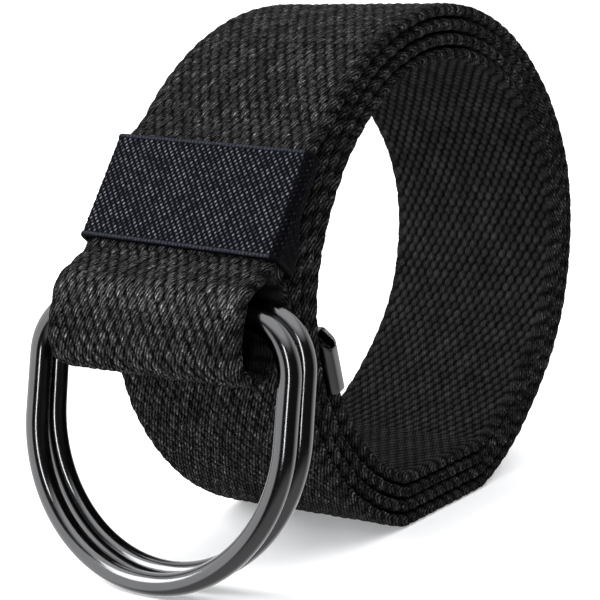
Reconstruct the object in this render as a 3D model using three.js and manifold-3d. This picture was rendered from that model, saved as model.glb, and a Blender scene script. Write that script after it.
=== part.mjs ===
// Double ring belt, rolled up: a webbing strap with two D rings in its folded end, an elastic keeper
// around the folded end and a metal tip on the free end. It stands on the rim of its coil.
// Millimetres. X runs along the axis of the coil, Y away from the rings, Z up.

import * as THREE from 'three';
import { mergeVertices } from 'three/addons/utils/BufferGeometryUtils.js';
import Module from 'manifold-3d';

const wasm = await Module();
wasm.setup();

// Webbing
const webbingWidth = 38;
const webbingThickness = 2.4;
const turnGap = 0.3;
const stitchGap = 0.35;

// Coil: an oval lying on its long side, sunk a little so that it has a flat base
const coilHalfDepth = 59.5;
const coilHalfHeight = 50.25;
const coilSink = 1.6;
const turnCount = 3.869;
const departAngle = 143;
const stationsPerTurn = 48;

// How far the coil's outline stands out of the oval, by the angle around the coil
// in degrees from +Y towards +Z, as a share of the webbing's thickness
const outlineTable = [
  { angle: -150, out: 0.22 },
  { angle: -115, out: 0.3 },
  { angle: -75, out: 0 },
  { angle: -45, out: -0.38 },
  { angle: -15, out: 0 },
  { angle: 15, out: 0.22 },
  { angle: 50, out: -0.17 },
  { angle: 90, out: 0 },
  { angle: 158, out: -0.34 },
  { angle: 180, out: 0 },
];

// D rings of round wire
const wireDiameter = 3.9;
const ringWidth = 50;
const ringReach = 45.3;
const ringShoulder = 9.5;
const ringLeg = 19.5;
const rearRise = 0.6;
const rearLeanAngle = 6.5;
const ringGap = 0.3;
const ringClearance = 0.3;
const ringRestGap = 0.05;
const ringSteps = 96;
const wireSides = 14;

// Folded end: the front ply leaves the coil, runs down through the keeper, over the bars and back up
const leadAngle = 36.5;
const leadLength = 6.5;
const barDrop = 8.7;
const foldDrop = 11.2;
const frontSlack = 2.6;
const shoulderSlack = 1.2;
const backPlyInKeeper = 3.5;
const shoulderAngle = 135;
const foldSteps = 4;

// Below the keeper the back ply bends back over the rear bar
const bendRadius = 1.9;
const bendAngle = 75;
const wrapAngle = 33;
const wrapShare = 0.97;

// Where the fold runs around the bars, as shares of the way from the back ply to
// the front ply and of the fold's drop below the bars
const foldTable = [
  { depth: 0, drop: 0.11 },
  { depth: 0.07, drop: 0.5 },
  { depth: 0.35, drop: 0.83 },
  { depth: 0.7, drop: 1 },
  { depth: 0.98, drop: 0.78 },
  { depth: 1.03, drop: 0.39 },
  { depth: 0.97, drop: 0 },
];

// Elastic keeper, a sleeve around the folded end
const keeperHeight = 18.9;
const keeperAngle = 55.4;
const keeperLead = 1.1;
const keeperTaper = 5.5;
const keeperWall = 0.8;
const keeperClearance = 0.3;
const keeperCorner = 1.1;
const keeperSteps = 14;
const cornerSteps = 3;

// Metal tip, a cap over the strap's free end
const tipLength = 11;
const tipWall = 0.45;
const tipClearance = 0.3;
const tipCornerCut = 2.6;

const weldDistance = 1e-4;

const turnPitch = webbingThickness + turnGap;
const wireRadius = wireDiameter / 2;
const halfThickness = webbingThickness / 2;
const bottomTurn = ((departAngle + 90) % 360) / 360;
const coilCentreHeight = coilHalfHeight - turnPitch * bottomTurn - coilSink;

const blackWebbing = { color: 0x1c1b1d, roughness: 0.95, metalness: 0 };
const blackElastic = { color: 0x15161c, roughness: 0.9, metalness: 0 };
const gunmetal = { color: 0x2b2b2d, roughness: 0.22, metalness: 1 };

function radians(degrees) {
  return (degrees * Math.PI) / 180;
}

function direction(degrees) {
  return new THREE.Vector2(Math.cos(radians(degrees)), Math.sin(radians(degrees)));
}

function smoothStep(x) {
  const t = THREE.MathUtils.clamp(x, 0, 1);
  return t * t * (3 - 2 * t);
}

// Height of the table's curve at an angle, eased from row to row around the whole turn
function outlineOut(angle) {
  const rows = outlineTable;
  const at = ((((angle - rows[0].angle) % 360) + 360) % 360) + rows[0].angle;
  let index = rows.length - 1;
  while (rows[index].angle > at) index -= 1;
  const here = rows[index];
  const next = rows[(index + 1) % rows.length];
  const span = (((next.angle - here.angle) % 360) + 360) % 360;
  const share = smoothStep((at - here.angle) / span);
  return (here.out + (next.out - here.out) * share) * webbingThickness;
}

// Centre of the strap after a number of turns, clockwise as seen from +X
function coilCentre(turn) {
  const angle = departAngle - turn * 360;
  const ray = direction(angle);
  const normal = new THREE.Vector2(ray.x / coilHalfDepth, ray.y / coilHalfHeight).normalize();
  const inset = halfThickness + turnPitch * turn - outlineOut(angle) + tipInset(turn);
  const y = coilHalfDepth * ray.x - normal.x * inset;
  const z = coilCentreHeight + coilHalfHeight * ray.y - normal.y * inset;
  const turnsBelow = Math.max(0, Math.round(turn - bottomTurn));
  return new THREE.Vector2(y, Math.max(z, halfThickness + turnsBelow * turnPitch));
}

// The last stretch leans inward to leave room for the wall of the tip
function tipInset(turn) {
  const room = tipWall + 2 * tipClearance;
  return room * smoothStep((turn - tipStartTurn + tipRampTurns) / tipRampTurns);
}

// The coil's end stands on the side of the oval, where its height sets how fast it turns
const endHalfHeight = coilHalfHeight - turnPitch * turnCount;
const tipTurns = (tipLength + halfThickness) / (2 * Math.PI * endHalfHeight);
const tipStartTurn = turnCount - tipTurns;
const tipRampTurns = 2 * tipTurns;

// The stations of one turn lie beside those of the next
function coilStations() {
  const count = Math.floor(tipStartTurn * stationsPerTurn - 0.5);
  const stations = [];
  for (let index = 0; index <= count; index += 1) {
    stations.push(coilCentre(index / stationsPerTurn));
  }
  stations.push(coilCentre(tipStartTurn));
  stations.push(coilCentre(turnCount));
  return stations;
}

// Leftmost reach of the coil's outer turn, which the folded end hangs in front of
function coilFrontY() {
  let front = Infinity;
  for (let turn = 0; turn < 1; turn += 1 / stationsPerTurn) {
    front = Math.min(front, coilCentre(turn).x - halfThickness);
  }
  return front;
}

// Drop of a ring's shoulder below its bar at the edge of the webbing
function shoulderDrop() {
  const past = Math.max(0, webbingWidth / 2 - (ringWidth / 2 - ringShoulder));
  return ringShoulder - Math.sqrt(Math.max(0, ringShoulder ** 2 - Math.min(past, ringShoulder) ** 2));
}

const leaveCoil = coilCentre(0);
const keeperUp = direction(keeperAngle);
const keeperOut = direction(keeperAngle + 90);
const straightTop = leaveCoil.clone().addScaledVector(direction(leadAngle), -leadLength);
const keeperFoot = straightTop.clone().addScaledVector(keeperUp, -keeperHeight - keeperLead);

// The fold hangs from the coil. The front ring leans out until it stands on the floor,
// and the rear one hangs from a bar a little higher up, behind it.
const barHeight = keeperFoot.y - barDrop;
const standShare = Math.min(1, (barHeight - wireRadius - ringRestGap) / ringReach);
const ringLean = THREE.MathUtils.radToDeg(Math.acos(standShare));
const rearBarHeight = barHeight + rearRise;
const barToPly = wireRadius + shoulderDrop() + ringClearance + halfThickness;
const backPlyY = coilFrontY() - turnGap - halfThickness;
const rearBarY = backPlyY - barToPly;
const barPitch = (wireDiameter + ringGap) / standShare;
const frontBarY = rearBarY - barPitch - rearRise * Math.tan(radians(ringLean));
const frontPlyY = frontBarY - wireRadius - frontSlack - halfThickness;
const plySpacing = webbingThickness + stitchGap;

function keeperPoint(along, outward) {
  return keeperFoot.clone().addScaledVector(keeperUp, along).addScaledVector(keeperOut, outward);
}

// Centre line of the folded end, from the back ply's cut end down, around the fold and up to the coil
function foldCurve() {
  const backFoot = keeperPoint(-keeperClearance, -plySpacing);
  const bendCentre = keeperPoint(-keeperClearance, -plySpacing - bendRadius);
  const bendPoint = (share) =>
    bendCentre.clone().addScaledVector(direction(keeperAngle + 90 + share * bendAngle), bendRadius);
  const frontFoot = keeperPoint(-keeperLead, 0);
  const depth = backPlyY - frontPlyY;
  const drop = foldDrop - halfThickness;
  const shoulderReach = barToPly + shoulderSlack;
  const frontBar = new THREE.Vector2(frontBarY, barHeight);
  const rearBar = new THREE.Vector2(rearBarY, rearBarHeight);
  const shoulder = frontBar.addScaledVector(direction(shoulderAngle), shoulderReach);
  const points = [
    keeperPoint(backPlyInKeeper, -plySpacing),
    backFoot,
    bendPoint(1 / 2),
    bendPoint(1),
    rearBar.clone().addScaledVector(direction(wrapAngle), wrapShare * barToPly),
    ...foldTable.map((row) => new THREE.Vector2(backPlyY - row.depth * depth, barHeight - row.drop * drop)),
    shoulder,
    shoulder.clone().add(frontFoot).multiplyScalar(1 / 2),
    frontFoot,
    keeperPoint(0, 0),
    keeperPoint(keeperHeight / 2, 0),
    keeperPoint(keeperHeight, 0),
    straightTop,
    leaveCoil,
  ];
  const spatial = points.map((point) => new THREE.Vector3(point.x, point.y, 0));
  return new THREE.CatmullRomCurve3(spatial, false, 'centripetal');
}

function foldStations() {
  const curve = foldCurve();
  const divisions = (curve.points.length - 1) * foldSteps;
  return curve.getPoints(divisions).slice(0, -1).map((point) => new THREE.Vector2(point.x, point.y));
}

// Unit normals of a line of points, to the left of its direction
function leftNormals(points) {
  return points.map((point, index) => {
    const before = points[Math.max(0, index - 1)];
    const after = points[Math.min(points.length - 1, index + 1)];
    const along = new THREE.Vector2().subVectors(after, before).normalize();
    return new THREE.Vector2(-along.y, along.x);
  });
}

// Turns a shape drawn in the Y-Z plane and extruded from 0 into a body centred across X
function acrossX(geometry, width) {
  const basis = new THREE.Matrix4().makeBasis(
    new THREE.Vector3(0, 1, 0),
    new THREE.Vector3(0, 0, 1),
    new THREE.Vector3(1, 0, 0),
  );
  geometry.applyMatrix4(basis);
  geometry.translate(-width / 2, 0, 0);
  return geometry;
}

function strapStations() {
  return [...foldStations(), ...coilStations()];
}

function strapGeometry() {
  const points = strapStations();
  const normals = leftNormals(points);
  const offset = (out) => points.map((point, index) => point.clone().addScaledVector(normals[index], out));
  const shape = new THREE.Shape([...offset(halfThickness), ...offset(-halfThickness).reverse()]);
  const geometry = new THREE.ExtrudeGeometry(shape, { depth: webbingWidth, bevelEnabled: false, steps: 1 });
  return acrossX(geometry, webbingWidth);
}

// Centre line of a D ring in its own plane, the bar along the top with its middle at the origin
class RingCurve extends THREE.Curve {
  constructor() {
    super();
    const half = ringWidth / 2;
    const path = new THREE.Path();
    path.moveTo(0, 0);
    path.lineTo(half - ringShoulder, 0);
    path.absarc(half - ringShoulder, -ringShoulder, ringShoulder, Math.PI / 2, 0, true);
    path.lineTo(half, -ringLeg);
    path.absellipse(0, -ringLeg, half, ringReach - ringLeg, 0, -Math.PI, true);
    path.lineTo(-half, -ringShoulder);
    path.absarc(ringShoulder - half, -ringShoulder, ringShoulder, Math.PI, Math.PI / 2, true);
    path.lineTo(0, 0);
    this.path = path;
  }

  getPoint(share, target = new THREE.Vector3()) {
    const point = this.path.getPointAt(share);
    return target.set(point.x, 0, point.y);
  }
}

function ringGeometry() {
  const geometry = new THREE.TubeGeometry(new RingCurve(), ringSteps, wireRadius, wireSides, true);
  geometry.deleteAttribute('uv');
  geometry.deleteAttribute('normal');
  const closed = mergeVertices(geometry, weldDistance);
  closed.computeVertexNormals();
  return closed;
}

function ringMesh(name, barY, barZ, lean) {
  const mesh = new THREE.Mesh(ringGeometry(), new THREE.MeshStandardMaterial(gunmetal));
  mesh.name = name;
  mesh.position.set(0, barY, barZ);
  mesh.rotation.x = -radians(lean);
  return mesh;
}

function roundedRectangle(path, left, right, low, high, corner) {
  path.moveTo(left + corner, low);
  path.lineTo(right - corner, low);
  path.absarc(right - corner, low + corner, corner, -Math.PI / 2, 0, false);
  path.lineTo(right, high - corner);
  path.absarc(right - corner, high - corner, corner, 0, Math.PI / 2, false);
  path.lineTo(left + corner, high);
  path.absarc(left + corner, high - corner, corner, Math.PI / 2, Math.PI, false);
  path.lineTo(left, low + corner);
  path.absarc(left + corner, low + corner, corner, Math.PI, Math.PI * 1.5, false);
  return path;
}

// The keeper's section lies in the X-N plane, N outward from the front ply, and runs up the ply.
// Its back wall steps in above the back ply's cut end.
function keeperGeometry() {
  const sideInner = webbingWidth / 2 + keeperClearance;
  const sideOuter = sideInner + keeperWall;
  const frontInner = halfThickness + keeperClearance;
  const frontOuter = frontInner + keeperWall;
  const backInner = -halfThickness - plySpacing - keeperClearance;
  const backOuter = backInner - keeperWall;
  const innerCorner = keeperCorner - keeperWall;
  const shape = roundedRectangle(
    new THREE.Shape(), -sideOuter, sideOuter, backOuter, frontOuter, keeperCorner);
  shape.holes.push(roundedRectangle(
    new THREE.Path(), -sideInner, sideInner, backInner, frontInner, innerCorner));
  const geometry = new THREE.ExtrudeGeometry(
    shape, { depth: keeperHeight, bevelEnabled: false, steps: keeperSteps, curveSegments: cornerSteps });
  const position = geometry.attributes.position;
  const straight = backPlyInKeeper + keeperClearance;
  for (let index = 0; index < position.count; index += 1) {
    const backShare = position.getY(index) < -halfThickness ? 1 : 0;
    const rise = (position.getZ(index) - straight) / keeperTaper;
    const stepIn = backShare * plySpacing * smoothStep(rise);
    position.setY(index, position.getY(index) + stepIn);
  }
  const basis = new THREE.Matrix4().makeBasis(
    new THREE.Vector3(-1, 0, 0),
    new THREE.Vector3(0, keeperOut.x, keeperOut.y),
    new THREE.Vector3(0, keeperUp.x, keeperUp.y),
  );
  geometry.applyMatrix4(basis);
  geometry.translate(0, keeperFoot.x, keeperFoot.y);
  return geometry;
}

function solidOf(geometry) {
  const bare = geometry.clone();
  bare.deleteAttribute('normal');
  bare.deleteAttribute('uv');
  const merged = mergeVertices(bare, weldDistance);
  const vertProperties = new Float32Array(merged.attributes.position.array);
  const triVerts = new Uint32Array(merged.index.array);
  return new wasm.Manifold(new wasm.Mesh({ numProp: 3, vertProperties, triVerts }));
}

function geometryOf(solid) {
  const mesh = solid.getMesh();
  const geometry = new THREE.BufferGeometry();
  geometry.setAttribute('position', new THREE.BufferAttribute(mesh.vertProperties, 3));
  geometry.setIndex(new THREE.BufferAttribute(mesh.triVerts, 1));
  geometry.computeVertexNormals();
  return geometry;
}

// A cap with closed sides over the strap's end. Two slanted cuts leave its end corners open.
// Built with its open mouth at Z = 0 and its closed end up.
function tipGeometry() {
  const innerWide = webbingWidth + 2 * tipClearance;
  const innerThick = webbingThickness + 2 * tipClearance;
  const outerWide = innerWide + 2 * tipWall;
  const outerThick = innerThick + 2 * tipWall;
  const innerLong = tipLength - tipWall;
  const outer = new THREE.BoxGeometry(outerWide, outerThick, tipLength);
  outer.translate(0, 0, tipLength / 2);
  const mouth = new THREE.BoxGeometry(innerWide, innerThick, 2 * innerLong);
  let cap = solidOf(outer).subtract(solidOf(mouth));
  for (const side of [-1, 1]) {
    const cutSide = tipCornerCut * Math.SQRT2;
    const cutter = new THREE.BoxGeometry(cutSide, outerThick / 2, cutSide);
    cutter.rotateY(Math.PI / 4);
    cutter.translate((side * outerWide) / 2, 0, tipLength);
    cap = cap.subtract(solidOf(cutter));
  }
  return geometryOf(cap);
}

function tipMesh() {
  const start = coilCentre(tipStartTurn);
  const end = coilCentre(turnCount);
  const along = new THREE.Vector2().subVectors(end, start).normalize();
  const outward = new THREE.Vector2(along.y, -along.x);
  const mouth = end.clone().addScaledVector(along, tipClearance + tipWall - tipLength);
  const mesh = new THREE.Mesh(tipGeometry(), new THREE.MeshStandardMaterial(gunmetal));
  mesh.name = 'end_tip';
  const basis = new THREE.Matrix4().makeBasis(
    new THREE.Vector3(1, 0, 0),
    new THREE.Vector3(0, outward.x, outward.y),
    new THREE.Vector3(0, along.x, along.y),
  );
  mesh.quaternion.setFromRotationMatrix(basis);
  mesh.position.set(0, mouth.x, mouth.y);
  return mesh;
}

function namedMesh(name, geometry, finish) {
  const mesh = new THREE.Mesh(geometry, new THREE.MeshStandardMaterial(finish));
  mesh.name = name;
  return mesh;
}

const belt = new THREE.Group();
belt.add(namedMesh('strap', strapGeometry(), blackWebbing));
belt.add(namedMesh('elastic_keeper', keeperGeometry(), blackElastic));
belt.add(ringMesh('ring_front', frontBarY, barHeight, ringLean));
belt.add(ringMesh('ring_rear', rearBarY, rearBarHeight, Math.min(rearLeanAngle, ringLean)));
belt.add(tipMesh());

// The origin is under the middle of the belt's box, on the surface that it stands on
belt.updateMatrixWorld(true);
const middle = new THREE.Box3().setFromObject(belt, true).getCenter(new THREE.Vector3());
belt.position.set(-middle.x, -middle.y, 0);
belt.updateMatrixWorld(true);

export default belt;
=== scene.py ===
"""Double ring belt, rolled up and standing on its rim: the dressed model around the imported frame.
Lengths are worked out in millimetres in the Y-Z plane of the strap and turned into metres in the meshes."""
import math

import bpy
import numpy as np
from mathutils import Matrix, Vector


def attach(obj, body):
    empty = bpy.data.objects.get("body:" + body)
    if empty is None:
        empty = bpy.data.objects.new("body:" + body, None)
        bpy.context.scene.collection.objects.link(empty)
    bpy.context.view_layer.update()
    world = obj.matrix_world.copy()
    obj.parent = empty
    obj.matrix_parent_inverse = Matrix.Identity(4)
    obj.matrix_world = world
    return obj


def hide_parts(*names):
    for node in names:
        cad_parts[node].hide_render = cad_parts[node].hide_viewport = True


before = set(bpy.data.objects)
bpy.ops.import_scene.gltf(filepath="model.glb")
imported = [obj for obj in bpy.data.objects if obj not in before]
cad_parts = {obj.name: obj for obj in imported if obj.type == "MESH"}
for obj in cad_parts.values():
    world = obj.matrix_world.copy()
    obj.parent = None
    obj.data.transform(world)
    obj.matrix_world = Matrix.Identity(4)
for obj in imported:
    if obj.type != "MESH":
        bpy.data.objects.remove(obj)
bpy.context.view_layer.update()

MM = 0.001
SCENE = bpy.context.scene

# camera
EYE = (0.16428, -0.28405, 0.09216)
YAW = 31.52
PITCH = 8.98
LENS = 103.35

camera_data = bpy.data.cameras.new("camera")
camera_data.lens = LENS
camera_data.sensor_width = 36
camera_data.clip_start = 0.01
camera_data.clip_end = 50
camera = bpy.data.objects.new("camera", camera_data)
SCENE.collection.objects.link(camera)
camera.location = EYE
camera.rotation_euler = (math.radians(90 - PITCH), 0, math.radians(YAW))
SCENE.camera = camera
SCENE.view_settings.view_transform = "Standard"

# sizes, as in the solids
WIDE = 38.0
THICK = 2.4
HALF = THICK / 2
TURN_GAP = 0.3
STITCH_GAP = 0.35
COIL_DEPTH = 59.5
COIL_HEIGHT = 50.25
COIL_SINK = 1.6
TURNS = 3.869
DEPART = 143.0
OUTLINE = [(-150, 0.22), (-115, 0.3), (-75, 0), (-45, -0.38), (-15, 0), (15, 0.22),
           (50, -0.17), (90, 0), (158, -0.34), (180, 0)]
WIRE = 3.9
RING_WIDTH = 50.0
RING_REACH = 45.3
RING_SHOULDER = 9.5
RING_LEG = 19.5
REAR_RISE = 0.6
REAR_LEAN = 6.5
RING_GAP = 0.3
RING_CLEARANCE = 0.3
RING_REST_GAP = 0.05
LEAD_ANGLE = 36.5
LEAD_LENGTH = 6.5
BAR_DROP = 8.7
FOLD_DROP = 11.2
FRONT_SLACK = 2.6
SHOULDER_SLACK = 1.2
BACK_PLY = 3.5
SHOULDER_ANGLE = 135
BEND_RADIUS = 1.9
BEND_ANGLE = 75
WRAP_ANGLE = 33
WRAP_SHARE = 0.97
FOLD = [(0, 0.11), (0.07, 0.5), (0.35, 0.83), (0.7, 1), (0.98, 0.78), (1.03, 0.39), (0.97, 0)]
KEEPER_HEIGHT = 18.9
KEEPER_ANGLE = 55.4
KEEPER_LEAD = 1.1
KEEPER_TAPER = 5.5
KEEPER_WALL = 0.8
KEEPER_CLEARANCE = 0.3
TIP_LENGTH = 11.0
TIP_WALL = 0.45
TIP_CLEARANCE = 0.3
TIP_CORNER = 2.6
BELT_SHIFT = 8.351738

PITCH_TURN = THICK + TURN_GAP
WIRE_RADIUS = WIRE / 2
BOTTOM_TURN = ((DEPART + 90) % 360) / 360
COIL_CENTRE = COIL_HEIGHT - PITCH_TURN * BOTTOM_TURN - COIL_SINK
END_HALF = COIL_HEIGHT - PITCH_TURN * TURNS
TIP_TURNS = (TIP_LENGTH + HALF) / (2 * math.pi * END_HALF)
TIP_START = TURNS - TIP_TURNS


def aim(degrees):
    return np.array([math.cos(math.radians(degrees)), math.sin(math.radians(degrees))])


def ease(x):
    t = min(max(x, 0.0), 1.0)
    return t * t * (3 - 2 * t)


def outline_out(angle):
    at = (angle - OUTLINE[0][0]) % 360 + OUTLINE[0][0]
    k = len(OUTLINE) - 1
    while OUTLINE[k][0] > at:
        k -= 1
    here, after = OUTLINE[k], OUTLINE[(k + 1) % len(OUTLINE)]
    span = (after[0] - here[0]) % 360
    return (here[1] + (after[1] - here[1]) * ease((at - here[0]) / span)) * THICK


def coil_point(turn):
    """Middle of the strap after so many turns, in the solids' own frame before its shift."""
    angle = DEPART - turn * 360
    ray = aim(angle)
    normal = np.array([ray[0] / COIL_DEPTH, ray[1] / COIL_HEIGHT])
    normal /= np.linalg.norm(normal)
    lean = (TIP_WALL + 2 * TIP_CLEARANCE) * ease((turn - TIP_START + 2 * TIP_TURNS) / (2 * TIP_TURNS))
    inset = HALF + PITCH_TURN * turn - outline_out(angle) + lean
    y = COIL_DEPTH * ray[0] - normal[0] * inset
    z = COIL_CENTRE + COIL_HEIGHT * ray[1] - normal[1] * inset
    below = max(0, math.floor(turn - BOTTOM_TURN + 0.5))
    return np.array([y, max(z, HALF + below * PITCH_TURN)])


STATIONS = 48
coil_front = min(coil_point(k / STATIONS)[0] - HALF for k in range(STATIONS))
past = max(0, WIDE / 2 - (RING_WIDTH / 2 - RING_SHOULDER))
shoulder_drop = RING_SHOULDER - math.sqrt(RING_SHOULDER ** 2 - past ** 2)
LEAVE = coil_point(0)
KEEPER_UP = aim(KEEPER_ANGLE)
KEEPER_OUT = aim(KEEPER_ANGLE + 90)
STRAIGHT_TOP = LEAVE - aim(LEAD_ANGLE) * LEAD_LENGTH
KEEPER_FOOT = STRAIGHT_TOP - KEEPER_UP * (KEEPER_HEIGHT + KEEPER_LEAD)
BAR_Z = float(KEEPER_FOOT[1]) - BAR_DROP
STAND_SHARE = min(1, (BAR_Z - WIRE_RADIUS - RING_REST_GAP) / RING_REACH)
RING_LEAN = math.acos(STAND_SHARE)
BAR_TO_PLY = WIRE_RADIUS + shoulder_drop + RING_CLEARANCE + HALF
BACK_PLY_Y = coil_front - TURN_GAP - HALF
REAR_BAR_Y = BACK_PLY_Y - BAR_TO_PLY
BAR_PITCH = (WIRE + RING_GAP) / STAND_SHARE
FRONT_BAR_Y = REAR_BAR_Y - BAR_PITCH - REAR_RISE * math.tan(RING_LEAN)
FRONT_PLY_Y = FRONT_BAR_Y - WIRE_RADIUS - FRONT_SLACK - HALF
PLY_SPACING = THICK + STITCH_GAP


def keeper_point(along, outward):
    return KEEPER_FOOT + KEEPER_UP * along + KEEPER_OUT * outward


def fold_points():
    foot = keeper_point(-KEEPER_CLEARANCE, -PLY_SPACING)
    centre = keeper_point(-KEEPER_CLEARANCE, -PLY_SPACING - BEND_RADIUS)
    bends = [centre + aim(KEEPER_ANGLE + 90 + s * BEND_ANGLE) * BEND_RADIUS for s in (0.5, 1)]
    front_foot = keeper_point(-KEEPER_LEAD, 0)
    depth, drop = BACK_PLY_Y - FRONT_PLY_Y, FOLD_DROP - HALF
    front_bar, rear_bar = np.array([FRONT_BAR_Y, BAR_Z]), np.array([REAR_BAR_Y, BAR_Z + REAR_RISE])
    shoulder = front_bar + aim(SHOULDER_ANGLE) * (BAR_TO_PLY + SHOULDER_SLACK)
    fold = [np.array([BACK_PLY_Y - d * depth, BAR_Z - f * drop]) for d, f in FOLD]
    return [keeper_point(BACK_PLY, -PLY_SPACING), foot, *bends,
            rear_bar + aim(WRAP_ANGLE) * WRAP_SHARE * BAR_TO_PLY, *fold, shoulder,
            (shoulder + front_foot) / 2, front_foot, keeper_point(0, 0),
            keeper_point(KEEPER_HEIGHT / 2, 0), keeper_point(KEEPER_HEIGHT, 0), STRAIGHT_TOP, LEAVE]


def smooth_through(points, steps):
    """Centripetal Catmull-Rom curve through the points, the last one left out."""
    p = [2 * points[0] - points[1], *points, 2 * points[-1] - points[-2]]
    line = []
    for a, b, c, d in zip(p, p[1:], p[2:], p[3:]):
        s0, s1, s2 = (math.sqrt(np.linalg.norm(v)) for v in (b - a, c - b, d - c))
        t1 = ((b - a) / s0 - (c - a) / (s0 + s1) + (c - b) / s1) * s1
        t2 = ((c - b) / s1 - (d - b) / (s1 + s2) + (d - c) / s2) * s1
        for k in range(steps):
            t = k / steps
            line.append(b + t1 * t + (3 * (c - b) - 2 * t1 - t2) * t * t
                        + (2 * (b - c) + t1 + t2) * t ** 3)
    return line


FOLD_STEPS = 24
COIL_POINTS_IN_LINE = 1500
TIP_POINTS_IN_LINE = 25
LINE_STEP = 0.1
SMOOTHING_REACH = 9


def strap_line():
    """Evenly spaced points of the strap's middle line and the length at each."""
    line = smooth_through(fold_points(), FOLD_STEPS)
    turns = np.linspace(0, TIP_START, COIL_POINTS_IN_LINE)
    line += [coil_point(t) for t in turns]
    start, end = coil_point(TIP_START), coil_point(TURNS)
    line += [start + (end - start) * s for s in np.linspace(0, 1, TIP_POINTS_IN_LINE)[1:]]
    line = np.array(line)
    line[:, 0] += BELT_SHIFT
    length = np.concatenate([[0], np.cumsum(np.linalg.norm(np.diff(line, axis=0), axis=1))])
    even = np.arange(0, length[-1], LINE_STEP)
    line = np.stack([np.interp(even, length, line[:, k]) for k in (0, 1)], axis=1)
    reach = SMOOTHING_REACH
    weights = np.hanning(2 * reach + 3)[1:-1]
    weights /= weights.sum()
    padded = np.concatenate([2 * line[0] - line[reach:0:-1], line, 2 * line[-1] - line[-2:-reach - 2:-1]])
    line = np.stack([np.convolve(padded[:, k], weights, "valid") for k in (0, 1)], axis=1)
    return line, even


LINE, LENGTH = strap_line()
TOTAL = float(LENGTH[-1])
TANGENT = np.gradient(LINE, axis=0)
TANGENT /= np.linalg.norm(TANGENT, axis=1, keepdims=True)
OUTWARD = np.stack([-TANGENT[:, 1], TANGENT[:, 0]], axis=1)


def length_at(point):
    """Length along the strap of the first place that comes nearest to a point."""
    return float(LENGTH[np.argmin(np.linalg.norm(LINE - np.asarray(point), axis=1))])


LEAVE_AT = length_at(LEAVE + [BELT_SHIFT, 0])
# painted highlight: a pale band along the fold's bulge over the bars
FOLD_HIGHLIGHT_AT = length_at([FRONT_PLY_Y + BELT_SHIFT + 0.6, BAR_Z + 2.6])
FOLD_HIGHLIGHT_REACH = 2.4


def fold_highlight(u):
    """How strongly a painted highlight pales the strap where it bulges over the rings."""
    return np.exp(-((u - FOLD_HIGHLIGHT_AT) / FOLD_HIGHLIGHT_REACH) ** 2)


# weave
FLOAT_ACROSS = 2.0
FLOAT_ALONG = 1.85
FLOAT_SLANT = 0.1
FLOAT_HALF_WIDE = 0.86
FLOAT_HALF_LONG = 1.22
FLOAT_SQUARENESS = 2.1
FLOAT_LIFT = 0.85
FLOAT_LIFT_SPREAD = 0.46
FLOAT_STRAY = 0.3
ROW_WANDER = 0.24
ROW_WANDER_CELL = 4.1
STRAND_PITCH = 0.58
STRAND_SLANT = -0.45
STRAND_DEPTH = 0.25
STRAND_PHASE = 6.28
STRAND_TURN = 0.42
KNOT_HEIGHT = 0.22
KNOT_TURN = 0.22
KNOT_ROUND = 0.8
KNOT_SMALLEST = 0.62
KNOT_SPREAD = 0.5
CORD_HEIGHT = 0.07
CORD_PITCH = 0.62
CORD_TURN = 0.9


def chance(i, j, salt):
    """A number from 0 to 1 that always belongs to the same cell."""
    x = np.sin(i * 12.9898 + j * 78.233 + salt * 37.719) * 43758.5453
    return x - np.floor(x)


def weave(u, v, salt=0, stray=1.0):
    """Height of the plain weave's floats, 0 in the pits and about 1 on the crowns.

    stray says how far the floats depart from an even grid, and salt picks another set of chances.
    """
    row = np.round(u / FLOAT_ALONG)
    best = np.zeros(np.broadcast(u, v).shape)
    for step in (-1, 0, 1):
        j = row + step
        side = np.mod(j, 2) * FLOAT_ACROSS / 2
        wander = ROW_WANDER * stray * (chance(j, np.round(v / ROW_WANDER_CELL), salt) - 0.5)
        du = u - j * FLOAT_ALONG - wander
        slanted = v - side + FLOAT_SLANT * du
        i = np.round(slanted / FLOAT_ACROSS)
        dv = slanted - i * FLOAT_ACROSS + FLOAT_STRAY * stray * (chance(i, j, salt + 1) - 0.5)
        wide_part = (np.abs(dv) / FLOAT_HALF_WIDE) ** FLOAT_SQUARENESS
        long_part = (np.abs(du) / FLOAT_HALF_LONG) ** FLOAT_SQUARENESS
        round_off = 1 - wide_part - long_part
        lift = FLOAT_LIFT + FLOAT_LIFT_SPREAD * stray * (chance(i, j, salt + 2) - 0.5)
        phase = 2 * math.pi * (dv + STRAND_SLANT * du) / STRAND_PITCH
        strand = 0.5 + 0.5 * np.cos(phase + STRAND_PHASE * chance(i, j, salt + 3))
        ply = 1 - stray * STRAND_DEPTH * (1 - strand)
        best = np.maximum(best, lift * ply * np.sqrt(np.clip(round_off, 0, 1)))
    return best


def selvedge(u, turn_round, side):
    """Bulge of the weft's loops around the edge; turn_round goes from 1 on the face to -1 behind."""
    phase = u / (2 * FLOAT_ALONG) + KNOT_TURN * turn_round + (0.5 if side > 0 else 0)
    knot = np.abs(np.sin(math.pi * phase)) ** KNOT_ROUND
    size = KNOT_SMALLEST + KNOT_SPREAD * chance(np.floor(phase), side, 21)
    fine = 0.5 + 0.5 * np.sin(2 * math.pi * (u / CORD_PITCH + CORD_TURN * turn_round))
    return KNOT_HEIGHT * knot * size + CORD_HEIGHT * fine


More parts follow.
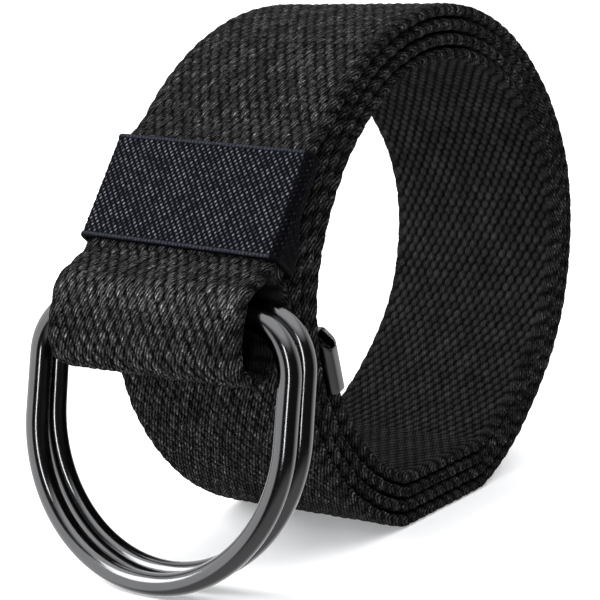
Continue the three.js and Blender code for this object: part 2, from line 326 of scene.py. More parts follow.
# mesh helpers
def mesh_object(name, vertices, faces, uvs=None, lift=None, fuzz=None):
    """A smooth mesh in the scene. faces is an array of quads, where a triangle repeats its last corner."""
    mesh = bpy.data.meshes.new(name)
    faces = np.asarray(faces, np.int64)
    quads = faces[:, 2] != faces[:, 3]
    sizes = np.where(quads, 4, 3)
    keep = np.ones(faces.shape, bool)
    keep[~quads, 3] = False
    loops = faces[keep]
    mesh.vertices.add(len(vertices))
    mesh.vertices.foreach_set("co", (np.asarray(vertices, np.float32) * MM).ravel())
    mesh.loops.add(len(loops))
    mesh.loops.foreach_set("vertex_index", loops.astype(np.int32))
    mesh.polygons.add(len(faces))
    starts = np.concatenate([[0], np.cumsum(sizes)[:-1]]).astype(np.int32)
    mesh.polygons.foreach_set("loop_start", starts)
    mesh.update(calc_edges=True)
    mesh.validate()
    if uvs is not None:
        layer = mesh.uv_layers.new(name="weave")
        layer.data.foreach_set("uv", np.asarray(uvs, np.float32)[loops].ravel())
    for title, values in (("lift", lift), ("fuzz", fuzz)):
        if values is not None:
            attribute = mesh.attributes.new(title, "FLOAT", "POINT")
            attribute.data.foreach_set("value", np.asarray(values, np.float32))
    mesh.polygons.foreach_set("use_smooth", np.ones(len(mesh.polygons), bool))
    mesh.update()
    thing = bpy.data.objects.new(name, mesh)
    SCENE.collection.objects.link(thing)
    return thing


def tube_faces(rows, around, flip=False):
    """Quads between the rings of a closed tube."""
    a = np.arange(rows - 1)[:, None] * around + np.arange(around)[None, :]
    b = np.arange(rows - 1)[:, None] * around + (np.arange(around)[None, :] + 1) % around
    quads = np.stack([a, b, b + around, a + around], axis=-1).reshape(-1, 4)
    return quads[:, ::-1] if flip else quads


def place(u, across, out):
    """Points of the strap: length along it, place across it and height off its middle surface."""
    y = np.interp(u, LENGTH, LINE[:, 0]) + out * np.interp(u, LENGTH, OUTWARD[:, 0])
    z = np.interp(u, LENGTH, LINE[:, 1]) + out * np.interp(u, LENGTH, OUTWARD[:, 1])
    return np.stack([across, y, z], axis=-1)


EDGE_STEPS = 8
EDGE_REACH = 0.95
EDGE_BLEND = 0.9
EDGE_FALL = 0.30
EDGE_ROUND_OUT = 0.7
EDGE_ROUND_UP = 0.8
EDGE_WRAP = 0.6
SWELL_UP = 0.8
SWELL_FULL = 0.41
CREST = 0.08
RELIEF = 0.38
PLAIN_COLUMNS = 7
PLAIN_LIFT = 0.5
CAP_LIFT = 0.2
UV_SCALE = 0.1
FOLD_HIGHLIGHT_GAIN = 0.6
# by face: salt and stray of its weave, start and gain of its paleness (painted shade in the pits, crowns
# paler from wear and painted highlight), and how hairy it looks
FACE_WEAVE = {"out": (0, 1.0), "in": (5, 0.45)}
FACE_WEAR_AND_PAINTED_LIGHT = {"out": (0.10, 0.93), "in": (0.0, 0.85)}
FACE_FUZZ = {"out": 1.0, "in": 0.3}


def half_width(u):
    """The webbing's half width; the corners of its end are cut off."""
    short = np.clip(u - (TOTAL - TIP_CORNER), 0, None)
    return WIDE / 2 - short


def ribbon(name, start, end, step, fine_out, fine_in, fine_step):
    """A closed length of webbing, woven in relief on the faces that show."""
    rows = max(2, int(round((end - start) / step)) + 1)
    u = np.linspace(start, end, rows)
    flat = WIDE / 2 - EDGE_REACH
    many = int(round(2 * flat / fine_step)) + 1
    face_out = np.linspace(-1, 1, many if fine_out else PLAIN_COLUMNS)
    face_in = np.linspace(1, -1, many if fine_in else PLAIN_COLUMNS)
    turn = np.linspace(1, -1, EDGE_STEPS + 1)[1:-1]
    columns = []
    for share in face_out:
        columns.append((share, 1, "out", 0, 1))
    for t in turn:
        columns.append((1, 0, "edge", t, 1))
    for share in face_in:
        columns.append((share, -1, "in", 0, 1))
    for t in turn[::-1]:
        columns.append((-1, 0, "edge", t, -1))
    around = len(columns)
    points = np.zeros((rows, around, 3))
    lift = np.zeros((rows, around))
    fuzz = np.ones((rows, around))
    uv = np.zeros((rows, around, 2))
    narrow = half_width(u) / (WIDE / 2)
    for k, (share, face, kind, t, side) in enumerate(columns):
        if kind == "edge":
            angle = math.asin(t)
            swell = selvedge(u, t, side)
            reach = (EDGE_REACH - KNOT_HEIGHT + swell) * math.cos(angle) ** EDGE_ROUND_OUT
            across = side * (flat + reach)
            out = (HALF - EDGE_FALL + swell * SWELL_UP) * math.copysign(abs(t) ** EDGE_ROUND_UP, t)
            # the edge knots get the same tone by height: painted shade between them, paler crowns
            lift[:, k] = swell / SWELL_FULL
            uv[:, k, 1] = across + side * (1 - abs(t)) * EDGE_WRAP
        else:
            across = np.full(rows, share * flat)
            shown = fine_out if kind == "out" else fine_in
            height = weave(u, across, *FACE_WEAVE[kind]) if shown else np.full(rows, PLAIN_LIFT)
            near = np.clip((abs(share) * flat - (flat - EDGE_BLEND)) / EDGE_BLEND, 0, 1)
            swell = selvedge(u, face, 1 if share > 0 else -1)
            relief = height * RELIEF * (1 - near) + near * swell
            out = face * (HALF - RELIEF + CREST + relief)
            # tone follows the weave's height: painted shade in the pits, crowns paler from wear and painted
            # highlight
            dark, gain = FACE_WEAR_AND_PAINTED_LIGHT[kind]
            pale = dark + gain * height
            fuzz[:, k] = FACE_FUZZ[kind]
            # the band on the fold is made paler still as painted highlight
            lift[:, k] = (pale * (1 - near) + near * swell / SWELL_FULL) * (1 + FOLD_HIGHLIGHT_GAIN * fold_highlight(u))
            uv[:, k, 1] = across
        uv[:, k, 0] = u
        points[:, k] = place(u, across * narrow, out)
    vertices = points.reshape(-1, 3)
    quads = [tube_faces(rows, around)]
    caps = []
    for row, turned in ((0, False), (rows - 1, True)):
        middle = len(vertices) + len(caps)
        caps.append(points[row].mean(axis=0))
        ring = row * around + np.arange(around)
        nxt = np.roll(ring, -1)
        fan = np.stack([np.full(around, middle), nxt, ring, ring], axis=1)
        quads.append(fan[:, [0, 2, 1, 1]] if turned else fan)
    vertices = np.concatenate([vertices, caps])
    uv = np.concatenate([uv.reshape(-1, 2), [[start, 0], [end, 0]]])
    lift = np.concatenate([lift.ravel(), [CAP_LIFT, CAP_LIFT]])
    fuzz = np.concatenate([fuzz.ravel(), [1, 1]])
    return mesh_object(name, vertices, np.concatenate(quads), uv * UV_SCALE, lift, fuzz)


# materials
def material(name):
    made = bpy.data.materials.new(name)
    made.use_nodes = True
    nodes, links = made.node_tree.nodes, made.node_tree.links
    shader = nodes["Principled BSDF"]
    return made, nodes, links, shader


def ramp(nodes, links, source, stops):
    node = nodes.new("ShaderNodeValToRGB")
    while len(node.color_ramp.elements) < len(stops):
        node.color_ramp.elements.new(0.5)
    for element, (at, colour) in zip(node.color_ramp.elements, stops):
        element.position = at
        element.color = (*colour, 1)
    links.new(source, node.inputs["Fac"])
    return node.outputs["Color"]


def noise(nodes, links, vector, detail, roughness):
    node = nodes.new("ShaderNodeTexNoise")
    node.inputs["Scale"].default_value = 1
    node.inputs["Detail"].default_value = detail
    node.inputs["Roughness"].default_value = roughness
    links.new(vector, node.inputs["Vector"])
    return node.outputs["Fac"]


def stretched(nodes, links, source, scale, turned=0.0):
    """Coordinates turned first and then scaled."""
    node = nodes.new("ShaderNodeMapping")
    node.vector_type = "TEXTURE"
    node.inputs["Scale"].default_value = [1 / s for s in scale]
    node.inputs["Rotation"].default_value = (0, 0, turned)
    links.new(source, node.inputs["Vector"])
    return node.outputs["Vector"]


def mixed(nodes, links, kind, factor, one, other):
    node = nodes.new("ShaderNodeMix")
    node.data_type = "RGBA"
    node.blend_type = kind
    if isinstance(factor, float):
        node.inputs["Factor"].default_value = factor
    else:
        links.new(factor, node.inputs["Factor"])
    for name, value in (("A", one), ("B", other)):
        socket = [s for s in node.inputs if s.name == name and s.type == "RGBA"][0]
        links.new(value, socket)
    return [s for s in node.outputs if s.type == "RGBA"][0]


def bumped(nodes, links, height, strength, distance, before=None):
    node = nodes.new("ShaderNodeBump")
    node.inputs["Strength"].default_value = strength
    node.inputs["Distance"].default_value = distance
    links.new(height, node.inputs["Height"])
    if before is not None:
        links.new(before, node.inputs["Normal"])
    return node.outputs["Normal"]


def bands(nodes, links, vector, scale, distortion, detail_scale):
    """Wavy parallel strands."""
    node = nodes.new("ShaderNodeTexWave")
    node.bands_direction = "Y"
    node.inputs["Scale"].default_value = scale
    node.inputs["Distortion"].default_value = distortion
    node.inputs["Detail"].default_value = 2
    node.inputs["Detail Scale"].default_value = detail_scale
    links.new(vector, node.inputs["Vector"])
    return node.outputs["Fac"]


def webbing_material():
    """Black cotton webbing: pits darkened as painted shade, crowns paler from wear and painted highlight,
    slanted strands and lint.
    """
    made, nodes, links, shader = material("webbing")
    coordinates = nodes.new("ShaderNodeUVMap")
    coordinates.uv_map = "weave"
    uv = coordinates.outputs["UV"]
    height = nodes.new("ShaderNodeAttribute")
    height.attribute_name = "lift"
    fuzz = nodes.new("ShaderNodeAttribute")
    fuzz.attribute_name = "fuzz"
    strands = noise(nodes, links, stretched(nodes, links, uv, (13, 36, 1), STRAND_TURN), 2, 0.6)
    plies = bands(nodes, links, stretched(nodes, links, uv, (1, 1, 1), STRAND_TURN), 5.4, 3.0, 3.0)
    lint = noise(nodes, links, stretched(nodes, links, uv, (55, 55, 1)), 2, 0.7)
    patches = noise(nodes, links, stretched(nodes, links, uv, (1.1, 1.6, 1)), 4, 0.6)
    # base colour by height: painted shade in the pits, crowns paler from wear and painted highlight
    base = ramp(nodes, links, height.outputs["Fac"],
                [(0.0, (0.0012, 0.0012, 0.0013)), (0.3, (0.0060, 0.0059, 0.0060)),
                 (0.65, (0.0205, 0.0202, 0.0204)), (1.0, (0.044, 0.0434, 0.0434))])
    fibre = ramp(nodes, links, strands,
                 [(0.36, (0.35, 0.35, 0.35)), (0.54, (0.9, 0.9, 0.9)),
                  (0.64, (2.2, 2.17, 2.14)), (0.76, (5.5, 5.4, 5.3))])
    colour = mixed(nodes, links, "MULTIPLY", fuzz.outputs["Fac"], base, fibre)
    twist = ramp(nodes, links, plies,
                 [(0.1, (0.3, 0.3, 0.3)), (0.5, (0.9, 0.9, 0.9)), (0.9, (1.9, 1.9, 1.9))])
    colour = mixed(nodes, links, "MULTIPLY", fuzz.outputs["Fac"], colour, twist)
    speck = ramp(nodes, links, lint, [(0.4, (0.45, 0.45, 0.45)), (0.68, (2.1, 2.1, 2.1))])
    colour = mixed(nodes, links, "MULTIPLY", fuzz.outputs["Fac"], colour, speck)
    broad = ramp(nodes, links, patches, [(0.3, (0.72, 0.72, 0.74)), (0.7, (1.3, 1.28, 1.26))])
    colour = mixed(nodes, links, "MULTIPLY", 1.0, colour, broad)
    links.new(colour, shader.inputs["Base Color"])
    shader.inputs["Roughness"].default_value = 0.9
    shader.inputs["Specular IOR Level"].default_value = 0.015
    normal = bumped(nodes, links, strands, 0.6, 0.0003)
    normal = bumped(nodes, links, plies, 0.5, 0.00012, normal)
    normal = bumped(nodes, links, lint, 0.4, 0.00015, normal)
    links.new(normal, shader.inputs["Normal"])
    return made


def elastic_material():
    """Black elastic with a fine twill: near-black ground and pale strands on the crowns."""
    made, nodes, links, shader = material("elastic")
    coordinates = nodes.new("ShaderNodeUVMap")
    coordinates.uv_map = "weave"
    uv = coordinates.outputs["UV"]
    height = nodes.new("ShaderNodeAttribute")
    height.attribute_name = "lift"
    lint = noise(nodes, links, stretched(nodes, links, uv, (26, 26, 1)), 3, 0.6)
    base = ramp(nodes, links, height.outputs["Fac"],
                [(0.0, (0.0008, 0.0009, 0.0016)), (0.35, (0.0022, 0.0024, 0.004)),
                 (0.62, (0.028, 0.030, 0.040)), (1.0, (0.13, 0.135, 0.155))])
    vary = ramp(nodes, links, lint, [(0.35, (0.35, 0.35, 0.35)), (0.7, (1.7, 1.7, 1.7))])
    links.new(mixed(nodes, links, "MULTIPLY", 1.0, base, vary), shader.inputs["Base Color"])
    shader.inputs["Roughness"].default_value = 0.8
    shader.inputs["Specular IOR Level"].default_value = 0.04
    normal = bumped(nodes, links, lint, 0.25, 0.0001)
    links.new(normal, shader.inputs["Normal"])
    return made


def metal_material(name, colour, rough, streak):
    """Gunmetal plating with faint polishing marks and small scuffs."""
    made, nodes, links, shader = material(name)
    coordinates = nodes.new("ShaderNodeTexCoord")
    place_at = coordinates.outputs["Object"]
    cloud = noise(nodes, links, stretched(nodes, links, place_at, (90, 90, 90)), 3, 0.5)
    marks = noise(nodes, links, stretched(nodes, links, place_at, streak), 4, 0.7)
    tone = ramp(nodes, links, cloud, [(0.3, tuple(0.88 * c for c in colour)), (0.75, colour)])
    links.new(tone, shader.inputs["Base Color"])
    grey = ramp(nodes, links, marks, [(0.3, (rough * 0.75,) * 3), (0.75, (rough * 1.35,) * 3)])
    links.new(grey, shader.inputs["Roughness"])
    shader.inputs["Metallic"].default_value = 1
    links.new(bumped(nodes, links, marks, 0.03, 0.0001), shader.inputs["Normal"])
    return made


WEBBING = webbing_material()
ELASTIC = elastic_material()
RING_METAL = metal_material("ring_metal", (0.12, 0.121, 0.125), 0.15, (300, 300, 1400))
TIP_METAL = metal_material("tip_metal", (0.13, 0.13, 0.135), 0.3, (1400, 300, 300))


def dress(thing, made, body, slot, *nodes):
    thing.data.materials.clear()
    thing.data.materials.append(made)
    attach(thing, body)
    if nodes:
        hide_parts(*nodes)
    return thing


# webbing
COIL_TURNS = np.linspace(0, TURNS, 4000)
COIL_POINTS = np.array([coil_point(t) for t in COIL_TURNS]) + [BELT_SHIFT, 0]
COIL_STEPS = np.linalg.norm(np.diff(COIL_POINTS, axis=0), axis=1)
COIL_LENGTHS = LEAVE_AT + np.concatenate([[0], np.cumsum(COIL_STEPS)])


def at_turn(turn):
    """Length along the strap after so many turns of the coil."""
    return float(np.interp(turn, COIL_TURNS, COIL_LENGTHS))


FINE = 0.40
FINEST = 0.26
COARSE = 0.62
# name, first and last length, step along the strap, and whether the outer and the inner face show
SPLITS = [
    ("webbing_fold", 0.0, at_turn(0.06), FINEST, True, False),
    ("webbing_outer", at_turn(0.06), at_turn(1.03), FINE, True, False),
    ("webbing_middle", at_turn(1.03), at_turn(2.80), COARSE, False, False),
    ("webbing_inner", at_turn(2.80), TOTAL, FINE, False, True),
]
for name, start, end, step, shown_out, shown_in in SPLITS:
    piece = ribbon(name, start, end, step, shown_out, shown_in, min(step, FINE))
    dress(piece, WEBBING, "belt", "webbing", "strap")


# loose fibres along the edges and on the outer face
FIBRE_RINGS = 4
FIBRE_SIDES = 3
FIBRE_FLOOR = 0.05
FIBRE_LENGTH = 0.34
FIBRE_SHORTEST = 0.18
FIBRE_LONGEST = 1.3
FIBRE_ON_FACE = 0.7
FIBRE_THICK = (0.011, 0.02)
FIBRE_LEAN = 0.7
FIBRE_SWEEP = 0.9
FIBRE_LIFT = 0.75
FIBRE_DEPTH = 0.25


def fibres(name, count, seed, start, end, on_edge):
    """Short curved hairs that stand off the strap, thin closed cones bent by a random sweep."""
    rng = np.random.default_rng(seed)
    u = rng.uniform(start, end, count)
    side = rng.choice([-1.0, 1.0], count)
    reach = WIDE / 2 - FIBRE_DEPTH
    if on_edge:
        root = place(u, side * reach, rng.uniform(-0.7, 0.7, count) * HALF)
    else:
        root = place(u, rng.uniform(-1, 1, count) * reach, np.full(count, HALF - 0.15))
    outward, forward = (
        np.stack([np.zeros(count), np.interp(u, LENGTH, way[:, 0]), np.interp(u, LENGTH, way[:, 1])], 1)
        for way in (OUTWARD, TANGENT))
    sideways = np.tile([1.0, 0, 0], (count, 1)) * side[:, None]
    away, across = (sideways, outward) if on_edge else (outward, sideways)
    lean = rng.normal(0, FIBRE_LEAN, count)
    sweep = rng.normal(0, FIBRE_SWEEP, count)
    turn = rng.uniform(0, 2 * math.pi, count)
    bend = forward * np.cos(turn)[:, None] + across * (0.5 * np.sin(turn))[:, None]
    length = rng.exponential(FIBRE_LENGTH, count) + FIBRE_SHORTEST
    length = np.clip(length, FIBRE_SHORTEST, FIBRE_LONGEST) * (1.0 if on_edge else FIBRE_ON_FACE)
    thick = rng.uniform(*FIBRE_THICK, count)
    spin = np.cross(away, forward)
    points = np.zeros((count, FIBRE_RINGS * FIBRE_SIDES, 3))
    for ring_at in range(FIBRE_RINGS):
        t = ring_at / (FIBRE_RINGS - 1)
        middle = root + away * (length * t * (1 - 0.25 * t))[:, None]
        middle = middle + forward * (length * lean * t * 0.6)[:, None]
        middle = middle + bend * (length * sweep * t * t)[:, None]
        for corner in range(FIBRE_SIDES):
            around = 2 * math.pi * corner / FIBRE_SIDES
            width = (thick * (1 - 0.8 * t))[:, None]
            points[:, ring_at * FIBRE_SIDES + corner] = middle + width * (
                forward * math.cos(around) + spin * math.sin(around))
    faces = [[r * FIBRE_SIDES + c, r * FIBRE_SIDES + (c + 1) % FIBRE_SIDES,
              (r + 1) * FIBRE_SIDES + (c + 1) % FIBRE_SIDES, (r + 1) * FIBRE_SIDES + c]
             for r in range(FIBRE_RINGS - 1) for c in range(FIBRE_SIDES)]
    last = (FIBRE_RINGS - 1) * FIBRE_SIDES
    faces += [[2, 1, 0, 0], [last, last + 1, last + 2, last + 2]]
    size = FIBRE_RINGS * FIBRE_SIDES
    quads = (np.arange(count)[:, None, None] * size + np.array(faces)[None]).reshape(-1, 4)
    below = points[..., 2] < FIBRE_FLOOR
    points[..., 2] = np.where(below, 2 * FIBRE_FLOOR - points[..., 2], points[..., 2])
    uv = np.repeat(np.stack([u, side * reach], axis=-1), size, axis=0) * UV_SCALE
    return mesh_object(name, points.reshape(-1, 3), quads, uv, np.full(count * size, FIBRE_LIFT))


for fibre_piece in (fibres("edge_fibres", 5200, 11, 6, TOTAL - TIP_LENGTH, True),
                    fibres("face_fibres", 2600, 12, 36, at_turn(1.02), False)):
    dress(fibre_piece, WEBBING, "belt", "webbing")


# keeper
CORNER_POINTS = 9


def rounded_loop(left, right, low, high, corner, step, fine_step=None):
    """Points of a rounded rectangle and the length around to each. The high side can be finer."""
    corners = [(right - corner, low + corner, -90), (right - corner, high - corner, 0),
               (left + corner, high - corner, 90), (left + corner, low + corner, 180)]
    points = []
    for x, y, turn in corners:
        for angle in np.linspace(turn, turn + 90, CORNER_POINTS):
            points.append((x + corner * math.cos(math.radians(angle)),
                           y + corner * math.sin(math.radians(angle))))
    points = np.array(points + points[:1])
    along = np.concatenate([[0], np.cumsum(np.linalg.norm(np.diff(points, axis=0), axis=1))])
    if fine_step is None:
        even = np.linspace(0, along[-1], int(round(along[-1] / step)), endpoint=False)
    else:
        first, last = along[CORNER_POINTS], along[3 * CORNER_POINTS - 1]
        parts = [(0, first, step), (first, last, fine_step), (last, along[-1], step)]
        even = np.concatenate([np.linspace(a, b, int(round((b - a) / s)), endpoint=False)
                               for a, b, s in parts])
    return np.stack([np.interp(even, along, points[:, k]) for k in (0, 1)], axis=1), even


TWILL_ACROSS = 1.18
TWILL_ALONG = 0.56
TWILL_SHIFT = 0.44
DASH_LONG = 0.40
DASH_WIDE = 0.25
DASH_LEAN = math.radians(32)
DASH_STRAY = 0.12
DASH_LIFT = 0.62
DASH_LIFT_SPREAD = 0.45


def twill(u, v):
    """Raised strands of a fine twill: u around the sleeve, v along it."""
    best = np.zeros(np.broadcast(u, v).shape)
    row = np.round(v / TWILL_ALONG)
    for step in (-1, 0, 1):
        j = row + step
        dv = v - j * TWILL_ALONG
        shifted = u - j * TWILL_SHIFT
        i = np.round(shifted / TWILL_ACROSS)
        du = shifted - i * TWILL_ACROSS + DASH_STRAY * (chance(i, j, 9) - 0.5)
        long_way = (dv * math.cos(DASH_LEAN) - du * math.sin(DASH_LEAN)) / DASH_LONG
        short_way = (du * math.cos(DASH_LEAN) + dv * math.sin(DASH_LEAN)) / DASH_WIDE
        bump = np.clip(1 - long_way ** 2 - short_way ** 2, 0, 1)
        lift = DASH_LIFT + DASH_LIFT_SPREAD * chance(i, j, 11)
        best = np.maximum(best, lift * np.sqrt(bump))
    return best


# the sleeve sits a little askew and is a little longer than its straight seat
SLEEVE_HEIGHT = KEEPER_HEIGHT + 1.2
SLEEVE_SKEW = -0.045
SLEEVE_STEP = 0.5
SLEEVE_FINE = 0.125
SLEEVE_ROW = 0.135
SLEEVE_INNER_ROWS = 14
SLEEVE_CORNER = 1.5
SLEEVE_SKIN = 0.12
SLEEVE_RELIEF = 0.15
SLEEVE_BACK_BLEND = 0.8
RIM = 0.85
RIM_RISE = 0.18
RIM_PALE = 0.42
RIM_STITCH_PALE = 0.22
RIM_STITCH_PITCH = 0.7
# painted shade: the sleeve's twill is made darker on its narrow sides
SIDE_PAINTED_SHADE = 0.5
SIDE_PAINTED_SHADE_REACH = 1.2


def keeper():
    """The elastic sleeve: a fine twill between two plain rims, and a smooth inside."""
    side = WIDE / 2 + KEEPER_CLEARANCE + KEEPER_WALL
    front = HALF + KEEPER_CLEARANCE + KEEPER_WALL
    back = -HALF - PLY_SPACING - KEEPER_CLEARANCE - KEEPER_WALL
    loop, around = rounded_loop(-side, side, back, front, SLEEVE_CORNER, SLEEVE_STEP, SLEEVE_FINE)
    inward = np.gradient(np.concatenate([loop[-1:], loop, loop[:1]]), axis=0)[1:-1]
    inward = np.stack([-inward[:, 1], inward[:, 0]], axis=1)
    inward /= np.linalg.norm(inward, axis=1, keepdims=True)
    rows, inner_rows = int(round(SLEEVE_HEIGHT / SLEEVE_ROW)), SLEEVE_INNER_ROWS
    count = len(loop)
    straight = BACK_PLY + KEEPER_CLEARANCE

    def set_in(points, height):
        """Steps the back of the sleeve in above the back ply's cut end."""
        t = np.clip((height - straight) / KEEPER_TAPER, 0, 1)
        share = np.clip((-HALF - points[..., 1]) / SLEEVE_BACK_BLEND, 0, 1)
        points[..., 1] += share * PLY_SPACING * t * t * (3 - 2 * t)
        return points

    def to_belt(points, height):
        raised = height + SLEEVE_SKEW * points[..., 0]
        y = KEEPER_FOOT[0] + KEEPER_UP[0] * raised + KEEPER_OUT[0] * points[..., 1] + BELT_SHIFT
        z = KEEPER_FOOT[1] + KEEPER_UP[1] * raised + KEEPER_OUT[1] * points[..., 1]
        return np.stack([points[..., 0], y, z], axis=-1)

    u, v = np.meshgrid(around, np.linspace(0, SLEEVE_HEIGHT, rows))
    height = twill(u, v)
    from_rim = np.minimum(v, SLEEVE_HEIGHT - v)
    plain = from_rim < RIM
    cord = np.sqrt(np.clip(1 - (2 * from_rim / RIM - 1) ** 2, 0, 1))
    stitch = np.abs(np.sin(math.pi * u / RIM_STITCH_PITCH))
    height = np.where(plain, RIM_PALE * cord + RIM_STITCH_PALE * stitch, height)
    raise_rim = np.where(plain, RIM_RISE * cord, 0)
    outer = loop[None] + inward[None] * (SLEEVE_SKIN - SLEEVE_RELIEF * height - raise_rim)[..., None]
    outer = to_belt(set_in(outer, v), v)
    inner_v = np.linspace(0, SLEEVE_HEIGHT, inner_rows)[:, None] + np.zeros(count)
    inner = np.broadcast_to(loop + inward * (KEEPER_WALL - SLEEVE_SKIN), (inner_rows, count, 2)).copy()
    inner = to_belt(set_in(inner, inner_v), inner_v)
    vertices = np.concatenate([outer.reshape(-1, 3), inner.reshape(-1, 3)])
    first_inner = rows * count
    quads = [tube_faces(rows, count, True), tube_faces(inner_rows, count) + first_inner]
    for row, inner_row, turned in ((0, 0, True), (rows - 1, inner_rows - 1, False)):
        a = row * count + np.arange(count)
        c = first_inner + inner_row * count + np.arange(count)
        join = np.stack([a, np.roll(a, -1), np.roll(c, -1), c], axis=1)
        quads.append(join[:, ::-1] if turned else join)
    # painted shade darkens the twill's colour on the sleeve's narrow sides
    shade = np.where(np.abs(loop[:, 0]) > side - SIDE_PAINTED_SHADE_REACH, SIDE_PAINTED_SHADE, 1.0)[None]
    inner_u = np.broadcast_to(around, inner_v.shape)
    uv = np.concatenate([np.stack([u, v], axis=-1).reshape(-1, 2),
                         np.stack([inner_u, inner_v], axis=-1).reshape(-1, 2)])
    lift = np.concatenate([(height * shade).ravel(), np.zeros(inner_rows * count)])
    return mesh_object("keeper_sleeve", vertices, np.concatenate(quads), uv * UV_SCALE, lift)


keeper_piece = dress(keeper(), ELASTIC, "belt", "elastic", "elastic_keeper")


# rings
def ring_path(count):
    """Middle line of a D ring in its plane: across, down from the bar."""
    half = RING_WIDTH / 2
    points = [(0, 0)]
    for a in np.linspace(90, 0, 25):
        points.append((half - RING_SHOULDER + RING_SHOULDER * math.cos(math.radians(a)),
                       -RING_SHOULDER + RING_SHOULDER * math.sin(math.radians(a))))
    for a in np.linspace(0, -180, 121):
        points.append((half * math.cos(math.radians(a)),
                       -RING_LEG + (RING_REACH - RING_LEG) * math.sin(math.radians(a))))
    for a in np.linspace(180, 90, 25):
        points.append((RING_SHOULDER - half + RING_SHOULDER * math.cos(math.radians(a)),
                       -RING_SHOULDER + RING_SHOULDER * math.sin(math.radians(a))))
    points = np.array(points + [(0, 0)])
    along = np.concatenate([[0], np.cumsum(np.linalg.norm(np.diff(points, axis=0), axis=1))])
    even = np.linspace(0, along[-1], count, endpoint=False)
    return np.stack([np.interp(even, along, points[:, k]) for k in (0, 1)], axis=1)


RING_ROWS = 260
RING_SIDES = 28


def ring(name, bar_y, bar_z, lean):
    """A D ring of round wire that hangs from its bar and leans back at its foot."""
    rows, around = RING_ROWS, RING_SIDES
    path = ring_path(rows)
    tangent = np.roll(path, -1, axis=0) - np.roll(path, 1, axis=0)
    tangent /= np.linalg.norm(tangent, axis=1, keepdims=True)
    outward = np.stack([tangent[:, 1], -tangent[:, 0]], axis=1)
    a = np.linspace(0, 2 * math.pi, around, endpoint=False)
    flat = path[:, None, :] + outward[:, None, :] * (WIRE_RADIUS * np.cos(a))[None, :, None]
    depth = np.broadcast_to(WIRE_RADIUS * np.sin(a), (rows, around))
    down = flat[..., 1]
    y = bar_y + BELT_SHIFT + depth * math.cos(lean) + down * math.sin(lean)
    z = bar_z + down * math.cos(lean) - depth * math.sin(lean)
    vertices = np.stack([flat[..., 0], y, z], axis=-1).reshape(-1, 3)
    k = np.arange(rows)[:, None] * around
    n = (np.arange(rows)[:, None] + 1) % rows * around
    i, j = np.arange(around)[None, :], (np.arange(around)[None, :] + 1) % around
    quads = np.stack([k + i, k + j, n + j, n + i], axis=-1).reshape(-1, 4)
    return mesh_object(name, vertices, quads)


front_ring = ring("d_ring_front", FRONT_BAR_Y, BAR_Z, RING_LEAN)
dress(front_ring, RING_METAL, "front_ring", "ring_metal", "ring_front")
rear_ring = ring("d_ring_rear", REAR_BAR_Y, BAR_Z + REAR_RISE, math.radians(REAR_LEAN))
dress(rear_ring, RING_METAL, "rear_ring", "ring_metal", "ring_rear")


# end tip
TIP_ROUND = 1.55
TIP_STEP = 0.3
TIP_LEVELS = 12
TIP_BEVEL = 0.14


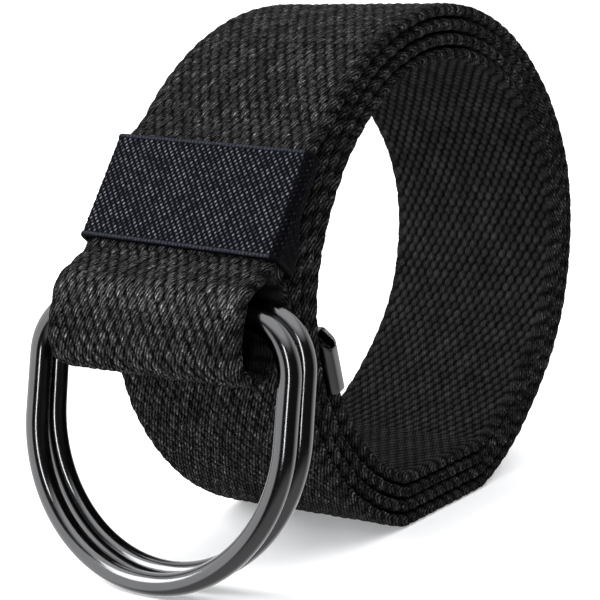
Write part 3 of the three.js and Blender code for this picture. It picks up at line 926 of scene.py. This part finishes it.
def tip():
    """A pressed sleeve with rounded sides and both end corners cut open."""
    half_x = WIDE / 2 + TIP_CLEARANCE + TIP_WALL
    half_n = HALF + TIP_CLEARANCE + TIP_WALL
    loop, _ = rounded_loop(-half_x, half_x, -half_n, half_n, TIP_ROUND, TIP_STEP)
    small, _ = rounded_loop(-half_x + TIP_WALL, half_x - TIP_WALL, -half_n + TIP_WALL, half_n - TIP_WALL,
                            TIP_ROUND - TIP_WALL, TIP_STEP)
    around, small_around = (np.linspace(0, 1, len(points), endpoint=False) for points in (loop, small))
    small = np.stack([np.interp(around, small_around, small[:, k]) for k in (0, 1)], axis=1)
    count = len(loop)
    levels = TIP_LEVELS

    def top(x, room):
        return (TIP_LENGTH - room) - np.clip(np.abs(x) - (half_x - TIP_CORNER), 0, None)

    vertices, quads = [], []
    for outline, room in ((loop, 0.0), (small, TIP_WALL)):
        share = np.linspace(0, 1, levels)[:, None]
        z = share * top(outline[:, 0], room)[None, :]
        n = np.broadcast_to(outline[:, 1], z.shape).copy()
        x = np.broadcast_to(outline[:, 0], z.shape)
        vertices.append(np.stack([x, n, z], axis=-1).reshape(-1, 3))
    base = levels * count
    quads.append(tube_faces(levels, count, False))
    quads.append(tube_faces(levels, count, True) + base)
    a = np.arange(count)
    b = np.roll(a, -1)
    quads.append(np.stack([a, a + base, b + base, b], axis=1))
    vertices = np.concatenate(vertices)
    points_top = vertices[(levels - 1) * count:levels * count]
    cut = half_x - TIP_CORNER - 0.01
    closed = np.abs(points_top[:, 0]) < cut
    last = (levels - 1) * count
    for k in range(count):
        m = (k + 1) % count
        if not (closed[k] and closed[m]):
            quads.append(np.array([[last + k, last + m, base + last + m, base + last + k]]))
    # the closed end: strips between the two long walls, outside and inside
    low = [k for k in range(count) if closed[k] and points_top[k, 1] < 0]
    high = [k for k in range(count) if closed[k] and points_top[k, 1] > 0]
    low.sort(key=lambda k: points_top[k, 0])
    high.sort(key=lambda k: points_top[k, 0])
    pairs = min(len(low), len(high))
    for layer, turned in ((last, False), (base + last, True)):
        for k in range(pairs - 1):
            q = [layer + low[k], layer + low[k + 1], layer + high[k + 1], layer + high[k]]
            quads.append(np.array([q[::-1] if turned else q]))
    for e, turned in ((0, False), (pairs - 1, True)):
        q = [last + low[e], last + high[e], base + last + high[e], base + last + low[e]]
        quads.append(np.array([q[::-1] if turned else q]))
    start, end = coil_point(TIP_START), coil_point(TURNS)
    along = (end - start) / np.linalg.norm(end - start)
    outward = np.array([along[1], -along[0]])
    mouth = end + along * (TIP_CLEARANCE + TIP_WALL - TIP_LENGTH) + [BELT_SHIFT, 0]
    y = mouth[0] + outward[0] * vertices[:, 1] + along[0] * vertices[:, 2]
    z = mouth[1] + outward[1] * vertices[:, 1] + along[1] * vertices[:, 2]
    world = np.stack([vertices[:, 0], y, z], axis=-1)
    thing = mesh_object("tip_sleeve", world, np.concatenate(quads))
    bevel = thing.modifiers.new("soft_edges", "BEVEL")
    bevel.width = TIP_BEVEL * MM
    bevel.segments = 2
    bevel.limit_method = "ANGLE"
    bevel.angle_limit = math.radians(40)
    return thing


dress(tip(), TIP_METAL, "belt", "tip_metal", "end_tip")


# stage and light
FLOOR = 12.0
FLOOR_COLOUR = (0.93, 0.93, 0.94)
FLOOR_GLOW_COLOUR = (0.97, 0.985, 1.0)
FLOOR_GLOW = 0.28
WORLD_STRENGTH = 2.2


def floor_material():
    """Pale matte paper that glows faintly, so that the shadows stay soft."""
    made, _, _, shader = material("floor")
    shader.inputs["Base Color"].default_value = (*FLOOR_COLOUR, 1)
    shader.inputs["Roughness"].default_value = 0.9
    shader.inputs["Specular IOR Level"].default_value = 0.1
    shader.inputs["Emission Color"].default_value = (*FLOOR_GLOW_COLOUR, 1)
    shader.inputs["Emission Strength"].default_value = FLOOR_GLOW
    return made


floor_mesh = bpy.data.meshes.new("floor")
floor_corners = [(-FLOOR, -FLOOR, 0), (FLOOR, -FLOOR, 0), (FLOOR, FLOOR, 0), (-FLOOR, FLOOR, 0)]
floor_mesh.from_pydata(floor_corners, [], [(0, 1, 2, 3)])
floor = bpy.data.objects.new("floor", floor_mesh)
SCENE.collection.objects.link(floor)
floor.data.materials.append(floor_material())
floor.visible_glossy = False


LAMP_TARGET = (0, 0, 0.05)


def soft_light(name, place_at, target, size, power):
    data = bpy.data.lights.new(name, "AREA")
    data.shape = "RECTANGLE"
    data.size, data.size_y = size
    data.energy = power
    lamp = bpy.data.objects.new(name, data)
    SCENE.collection.objects.link(lamp)
    lamp.location = place_at
    lamp.rotation_euler = (Vector(target) - Vector(place_at)).to_track_quat("-Z", "Y").to_euler()


soft_light("key", (-0.75, -0.75, 0.8), LAMP_TARGET, (0.7, 0.7), 13)
soft_light("fill", (0.45, -1.0, 0.35), LAMP_TARGET, (0.12, 0.8), 4)


def studio_world():
    """Bright behind and above, dark towards the camera, with one bright panel on the left."""
    made = bpy.data.worlds.new("studio")
    made.use_nodes = True
    nodes, links = made.node_tree.nodes, made.node_tree.links
    ray = nodes.new("ShaderNodeTexCoord").outputs["Generated"]
    ahead = (-math.sin(math.radians(YAW)), math.cos(math.radians(YAW)), 0)
    left = (-math.cos(math.radians(YAW)), -math.sin(math.radians(YAW)), 0)

    def towards(axis, stops):
        dot = nodes.new("ShaderNodeVectorMath")
        dot.operation = "DOT_PRODUCT"
        dot.inputs[1].default_value = axis
        links.new(ray, dot.inputs[0])
        spread = nodes.new("ShaderNodeMapRange")
        spread.inputs["From Min"].default_value = -1
        links.new(dot.outputs["Value"], spread.inputs["Value"])
        levels = [((at + 1) / 2, (level,) * 3) for at, level in stops]
        return ramp(nodes, links, spread.outputs["Result"], levels)

    behind = towards(ahead, [(-1, 0.02), (-0.15, 0.02), (0.35, 0.55), (1, 0.6)])
    panel = towards(left, [(-1, 0.0), (0.66, 0.0), (0.76, 0.8), (1, 0.8)])
    above = towards((0, 0, 1), [(-1, 0.26), (-0.45, 0.22), (-0.24, 0.0),
                                (0.6, 0.0), (0.85, 0.95), (1, 0.95)])
    both = mixed(nodes, links, "LIGHTEN", 1.0, behind, panel)
    sky = mixed(nodes, links, "LIGHTEN", 1.0, both, above)
    background = nodes["Background"]
    links.new(sky, background.inputs["Color"])
    background.inputs["Strength"].default_value = WORLD_STRENGTH
    return made


SCENE.world = studio_world()
